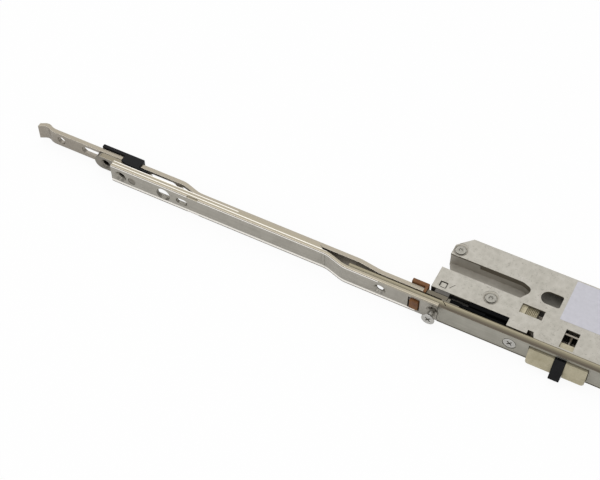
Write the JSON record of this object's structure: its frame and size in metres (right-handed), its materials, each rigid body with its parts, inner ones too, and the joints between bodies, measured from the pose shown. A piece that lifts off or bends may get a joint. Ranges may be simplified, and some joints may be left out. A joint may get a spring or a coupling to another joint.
{
  "type": "multipoint door lock",
  "caption": "Multipoint door lock with split latch, lever-turned follower, gear-driven drive rods and a long narrow faceplate.",
  "frame": {"origin": "front face of the main faceplate, on the line of the handle spindle, at the middle of the faceplate's width", "axes": "+X along the faceplate to its lower end, +Y into the door's edge, +Z across the door's thickness"},
  "size_m": [0.83, 0.073, 0.016],
  "materials": {
    "plated_steel": "nickel-silver plated steel strip, glossy",
    "rod_steel": "bright zinc-plated steel strip",
    "zinc_sheet": "galvanised steel sheet, mottled",
    "zinc_casting": "zinc die casting, yellow passivated",
    "screw_steel": "plated screw steel",
    "brass_pin": "turned brass",
    "black_plastic": "moulded black plastic",
    "brown_plastic": "moulded brown plastic",
    "cream_plastic": "moulded cream plastic",
    "label_paper": "plain white label",
    "dark_steel": "dark phosphated steel, lightly oiled"
  },
  "bodies": {
    "case": {"faceplate": "plated_steel", "upper_faceplate": "plated_steel", "end_connector": "rod_steel", "rod_guide_clip": "black_plastic", "position_clip": "brown_plastic", "coupling_screw": "screw_steel", "faceplate_screws": "screw_steel", "case_tray": "zinc_sheet", "case_cover": "zinc_sheet", "case_posts": "screw_steel", "case_screws": "screw_steel", "case_label": "label_paper", "follower_bushes": "cream_plastic", "spring_bracket": "zinc_sheet", "pivot_pins": "brass_pin", "channel_liner": "dark_steel", "rod_guide_block": "dark_steel", "gate_shield": "black_plastic", "latch_spring": "screw_steel"},
    "drive": {"upper_rod": "rod_steel", "rod_coupler": "rod_steel", "link_strip": "rod_steel", "strip_cap": "black_plastic", "rack_slide": "rod_steel", "serrated_block": "zinc_casting", "slide_block": "cream_plastic", "lower_rod": "rod_steel", "locking_cam": "plated_steel", "slide_rivets": "screw_steel"},
    "turner": {"follower": "zinc_casting"},
    "latch": {"latch_bolt": "zinc_casting", "latch_stem": "rod_steel"},
    "insert": {"latch_insert": "black_plastic"},
    "latch_arm": {"latch_lever": "rod_steel"},
    "key_arm": {"changer_lever": "rod_steel"}
  },
  "joints": [
    {"name": "drive_slide", "type": "slide", "parent": "case", "child": "drive", "axis": [1, 0, 0], "range_m": [-0.01396, 0.01396]},
    {"name": "follower_turn", "type": "hinge", "parent": "case", "child": "turner", "pos_m": [0, 0.045, 0], "axis": [0, 0, 1], "range_deg": [-40, 40]},
    {"name": "latch_slide", "type": "slide", "parent": "case", "child": "latch", "axis": [0, 1, 0], "range_m": [0, 0.0107], "stiffness_N_per_m": 400, "springref_m": -0.008, "deforming": ["latch_spring"]},
    {"name": "insert_slide", "type": "slide", "parent": "latch", "child": "insert", "axis": [0, 1, 0], "range_m": [0, 0.0044], "stiffness_N_per_m": 200, "springref_m": -0.004},
    {"name": "latch_lever_swing", "type": "hinge", "parent": "case", "child": "latch_arm", "pos_m": [-0.04, 0.031, 0], "axis": [0, 0, 1], "range_deg": [-22.66, 0]},
    {"name": "changer_lever_swing", "type": "hinge", "parent": "case", "child": "key_arm", "pos_m": [0.04, 0.034, 0], "axis": [0, 0, 1], "range_deg": [-8, 8], "stiffness_Nm_per_rad": 0.05}
  ],
  "couplings": [
    {"joint": "follower_turn", "follows": "drive_slide", "rad_per_m": 50},
    {"joint": "latch_lever_swing", "follows": "latch_slide", "rad_per_m": -36.9}
  ]
}
